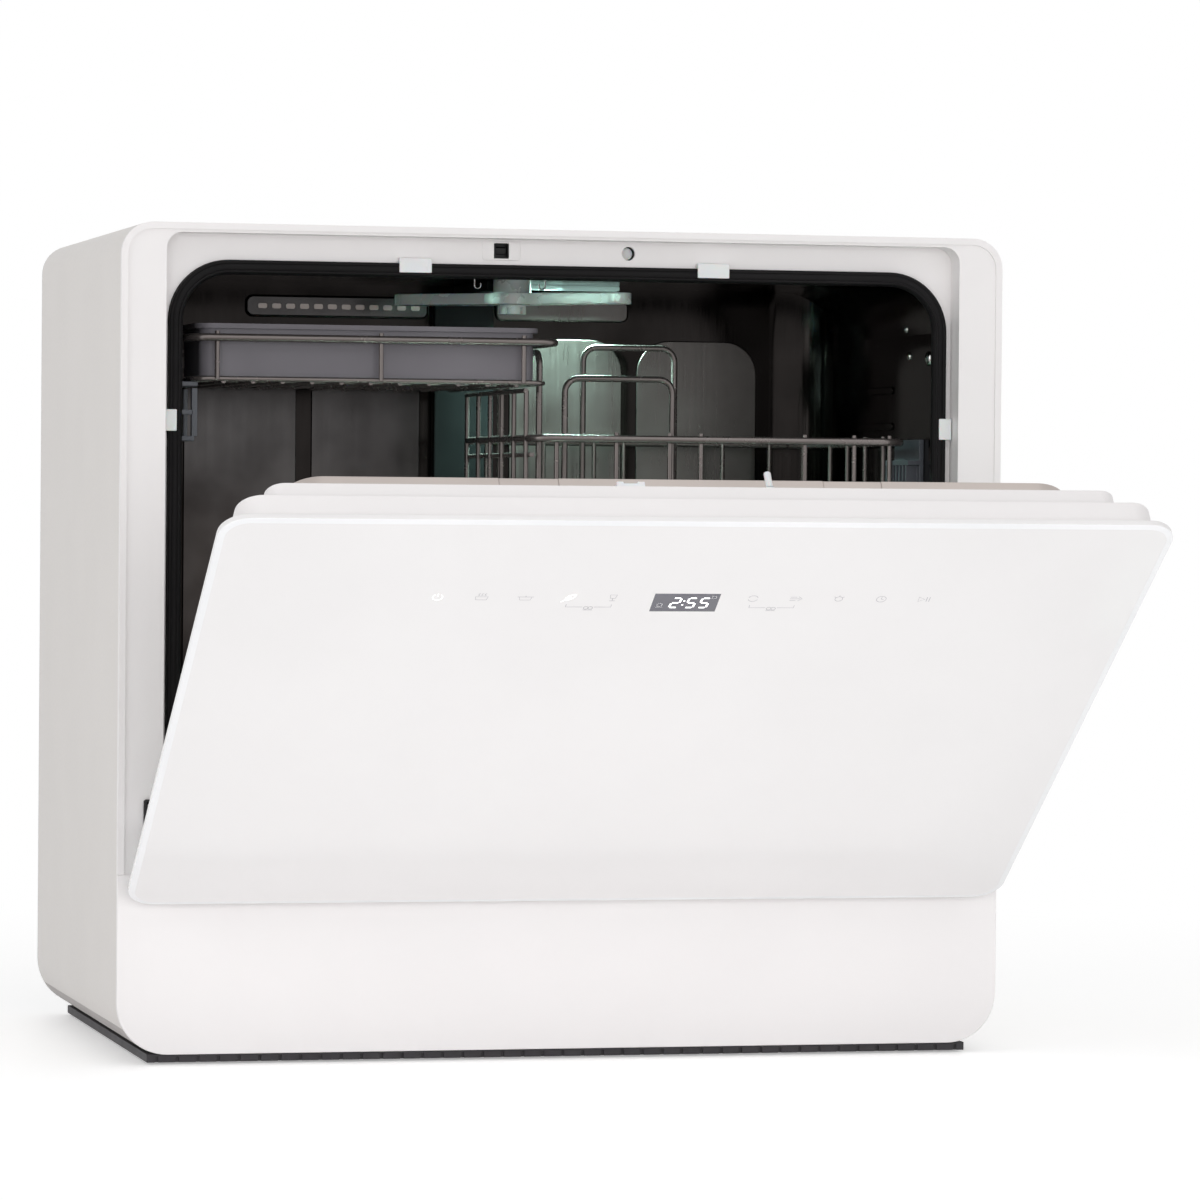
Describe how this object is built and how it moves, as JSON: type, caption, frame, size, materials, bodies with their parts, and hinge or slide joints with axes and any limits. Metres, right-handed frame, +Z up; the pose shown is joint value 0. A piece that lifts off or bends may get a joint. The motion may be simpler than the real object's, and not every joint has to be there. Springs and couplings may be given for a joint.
{
  "type": "countertop dishwasher",
  "caption": "Countertop dishwasher with a drop-down glass door half open, steel tub, sliding wire basket and rack, spray arms and pumps in the base.",
  "frame": {"origin": "on the worktop, under the middle of the part's overall box; the front frame's face is the plane y = 0", "axes": "+X to the right as seen from the front, +Y to the back, +Z up"},
  "size_m": [0.55, 0.679, 0.504],
  "materials": {
    "white_shell": "satin white moulding",
    "wrap_paint": "light grey powder coat",
    "zinc_steel": "zinc-coated sheet",
    "grey_base": "matt grey moulding",
    "dark_skirt": "matt dark moulding",
    "foot_rubber": "rubber",
    "tub_steel": "polished stainless sheet",
    "seal_rubber": "black seal rubber",
    "clip_white": "milky white moulding",
    "lamp_lens": "frosted clear lens",
    "bracket_grey": "matt grey moulding",
    "black_plastic": "matt black moulding",
    "door_white_glass": "white back-painted glass",
    "board_green": "solder-masked board",
    "display_grey": "dark display window",
    "dispenser_grey": "grey moulding",
    "lid_grey": "light grey moulding",
    "hinge_steel": "plated steel",
    "arm_white": "white paint",
    "spring_steel": "spring steel",
    "pump_black": "matt black moulding",
    "wheel_white": "white moulding",
    "arm_grey": "grey moulding",
    "tank_ivory": "ivory moulding",
    "hose_grey": "ribbed grey hose",
    "rack_grey": "grey nylon coat",
    "tray_grey": "matt grey moulding"
  },
  "bodies": {
    "body": {"front_frame": "white_shell", "lower_panel": "white_shell", "outer_wrap": "wrap_paint", "rear_panel": "zinc_steel", "base_tray": "grey_base", "base_skirt": "dark_skirt", "feet": "foot_rubber", "tub": "tub_steel", "tub_gasket": "seal_rubber", "opening_clips": "clip_white", "tub_lamp": "lamp_lens", "basket_runners": "bracket_grey", "rack_bracket_left": "bracket_grey", "rack_bracket_right": "bracket_grey", "latch_housing": "black_plastic", "hinge_bracket_left": "hinge_steel", "hinge_bracket_right": "hinge_steel", "hinge_pins": "hinge_steel", "door_spring_left": "spring_steel", "door_spring_right": "spring_steel", "sump": "pump_black", "filter_plate": "tub_steel", "wash_pump": "pump_black", "drain_pump": "pump_black", "flow_heater": "hinge_steel", "lower_spindle": "arm_grey", "upper_spindle": "arm_grey", "feed_duct": "bracket_grey", "inlet_valve": "tank_ivory", "drain_hose": "hose_grey", "air_breaker": "tank_ivory", "softener": "tank_ivory", "float_switch": "black_plastic", "power_board": "tank_ivory", "cord_gland": "black_plastic"},
    "door": {"door_glass": "door_white_glass", "door_frame": "white_shell", "door_liner": "tub_steel", "control_board": "board_green", "display_module": "display_grey", "door_keeper": "clip_white", "door_peg": "clip_white", "dispenser_body": "dispenser_grey", "hinge_arm_left": "arm_white", "hinge_arm_right": "arm_white"},
    "dispenser_lid": {"dispenser_lid": "lid_grey"},
    "rinse_cap": {"rinse_cap": "dispenser_grey"},
    "latch_bolt": {"latch_bolt": "black_plastic"},
    "switch_plunger": {"switch_plunger": "clip_white"},
    "filter_cup": {"filter_cup": "dispenser_grey"},
    "wash_impeller": {"wash_impeller": "wheel_white"},
    "lower_spray_arm": {"lower_spray_arm": "arm_grey"},
    "upper_spray_arm": {"upper_spray_arm": "arm_grey"},
    "salt_cap": {"salt_cap": "dispenser_grey"},
    "float_disc": {"float_disc": "wheel_white"},
    "lower_basket": {"lower_basket": "rack_grey"},
    "front_wheels": {"front_wheels": "bracket_grey"},
    "rear_wheels": {"rear_wheels": "bracket_grey"},
    "upper_rack": {"upper_rack": "rack_grey", "cutlery_tray": "tray_grey"}
  },
  "joints": [
    {"name": "door_hinge", "type": "hinge", "parent": "body", "child": "door", "pos_m": [0, -0.0095, 0.107], "axis": [1, 0, 0], "range_deg": [-54.6, 35.4], "deforming": ["door_spring_left", "door_spring_right"]},
    {"name": "dispenser_lid_slide", "type": "slide", "parent": "door", "child": "dispenser_lid", "axis": [-1, 0, 0], "range_m": [0, 0.04]},
    {"name": "rinse_cap_turn", "type": "hinge", "parent": "door", "child": "rinse_cap", "pos_m": [0.088, -0.11111, 0.23331], "axis": [0, 0.5793, 0.8151], "range_deg": [0, 90]},
    {"name": "latch_slide", "type": "slide", "parent": "body", "child": "latch_bolt", "axis": [0, -0.9659, -0.2588], "range_m": [0, 0.011]},
    {"name": "switch_press", "type": "slide", "parent": "body", "child": "switch_plunger", "axis": [0, 1, 0], "range_m": [0, 0.003], "stiffness_N_per_m": 200, "springref_m": -0.001},
    {"name": "upper_rack_slide", "type": "slide", "parent": "body", "child": "upper_rack", "axis": [0, -1, 0], "range_m": [0, 0.16]},
    {"name": "lower_basket_slide", "type": "slide", "parent": "body", "child": "lower_basket", "axis": [0, -1, 0], "range_m": [0, 0.05]},
    {"name": "front_wheels_spin", "type": "hinge", "parent": "lower_basket", "child": "front_wheels", "pos_m": [0, 0.075, 0.1501], "axis": [1, 0, 0], "continuous": true},
    {"name": "rear_wheels_spin", "type": "hinge", "parent": "lower_basket", "child": "rear_wheels", "pos_m": [0, 0.215, 0.1501], "axis": [1, 0, 0], "continuous": true},
    {"name": "lower_spray_arm_spin", "type": "hinge", "parent": "body", "child": "lower_spray_arm", "pos_m": [0, 0.15, 0.1405], "axis": [0, 0, 1], "continuous": true},
    {"name": "upper_spray_arm_spin", "type": "hinge", "parent": "body", "child": "upper_spray_arm", "pos_m": [0, 0.16, 0.4675], "axis": [0, 0, 1], "continuous": true},
    {"name": "filter_cup_turn", "type": "hinge", "parent": "body", "child": "filter_cup", "pos_m": [0.044, 0.107, 0.13], "axis": [0, 0, 1], "range_deg": [0, 90]},
    {"name": "salt_cap_turn", "type": "hinge", "parent": "body", "child": "salt_cap", "pos_m": [-0.165, 0.205, 0.13], "axis": [0, 0, 1], "range_deg": [0, 180]},
    {"name": "wash_impeller_spin", "type": "hinge", "parent": "body", "child": "wash_impeller", "pos_m": [-0.095, 0.128, 0.052], "axis": [1, 0, 0], "continuous": true},
    {"name": "float_rise", "type": "slide", "parent": "body", "child": "float_disc", "axis": [0, 0, 1], "range_m": [0, 0.007]}
  ]
}
